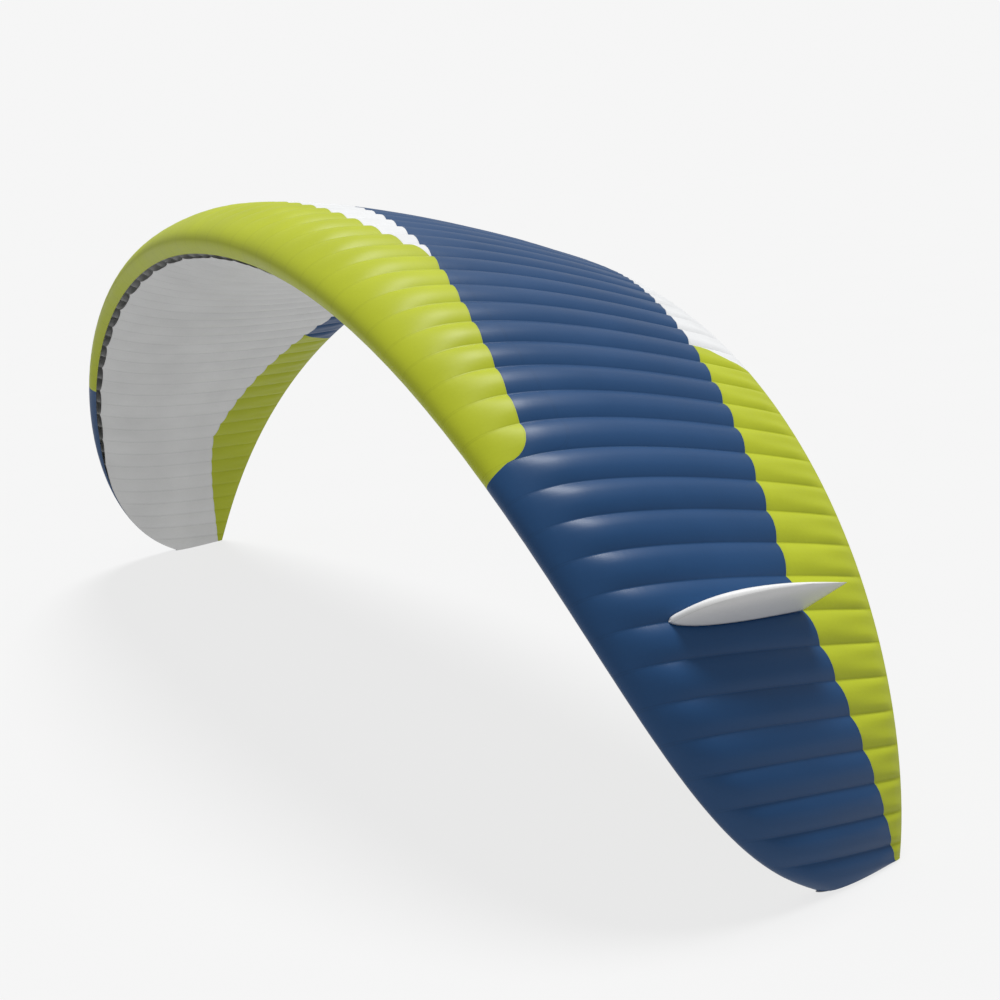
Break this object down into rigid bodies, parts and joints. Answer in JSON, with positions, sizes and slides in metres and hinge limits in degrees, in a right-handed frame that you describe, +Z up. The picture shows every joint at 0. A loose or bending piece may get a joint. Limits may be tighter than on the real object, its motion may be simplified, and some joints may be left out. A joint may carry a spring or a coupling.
{
  "type": "paraglider wing",
  "caption": "Inflated ram-air paraglider wing: arched canopy of upper and lower sails with inner ribs, nose intakes and a small fin on each half, standing on its two wing tips.",
  "frame": {"origin": "on the ground, under the middle of the wing's box, midway between the wing tips", "axes": "+X to the right wing tip, along the span; +Z up; the leading edge looks to -Y and the trailing edge to +Y"},
  "size_m": [9.9518, 2.5809, 3.3803],
  "materials": {
    "lime_cloth": "Ripstop nylon, lime, satin coated",
    "blue_cloth": "Ripstop nylon, navy blue, satin coated",
    "white_cloth": "Ripstop nylon, white, satin coated",
    "under_white_cloth": "Ripstop nylon, white, in the shade of the underside"
  },
  "bodies": {
    "root": {"chevron_band": "white_cloth", "lower_panel": "under_white_cloth", "lower_tail_blue_left": "blue_cloth", "lower_tail_blue_right": "blue_cloth", "lower_tail_lime_left": "lime_cloth", "lower_tail_lime_right": "lime_cloth", "main_panel": "blue_cloth", "nose_panel": "lime_cloth", "outer_panel_left": "blue_cloth", "outer_panel_right": "blue_cloth", "rib_01_left": "under_white_cloth", "rib_01_right": "under_white_cloth", "rib_03_left": "under_white_cloth", "rib_03_right": "under_white_cloth", "rib_05_left": "under_white_cloth", "rib_05_right": "under_white_cloth", "rib_07_left": "under_white_cloth", "rib_07_right": "under_white_cloth", "rib_09_left": "under_white_cloth", "rib_09_right": "under_white_cloth", "rib_11_left": "under_white_cloth", "rib_11_right": "under_white_cloth", "rib_13_left": "under_white_cloth", "rib_13_right": "under_white_cloth", "rib_15_left": "under_white_cloth", "rib_15_right": "under_white_cloth", "rib_17_left": "under_white_cloth", "rib_17_right": "under_white_cloth", "rib_19_left": "under_white_cloth", "rib_19_right": "under_white_cloth", "rib_21_left": "under_white_cloth", "rib_21_right": "under_white_cloth", "rib_23_left": "under_white_cloth", "rib_23_right": "under_white_cloth", "rib_25_left": "under_white_cloth", "rib_25_right": "under_white_cloth", "rib_27_left": "under_white_cloth", "rib_27_right": "under_white_cloth", "rib_29_left": "under_white_cloth", "rib_29_right": "under_white_cloth", "rib_31_left": "under_white_cloth", "rib_31_right": "under_white_cloth", "tail_lime_left": "lime_cloth", "tail_lime_right": "lime_cloth", "tail_white_left": "white_cloth", "tail_white_right": "white_cloth", "tip_rib_left": "under_white_cloth", "tip_rib_right": "under_white_cloth", "winglet_left": "white_cloth", "winglet_right": "white_cloth"}
  },
  "joints": []
}
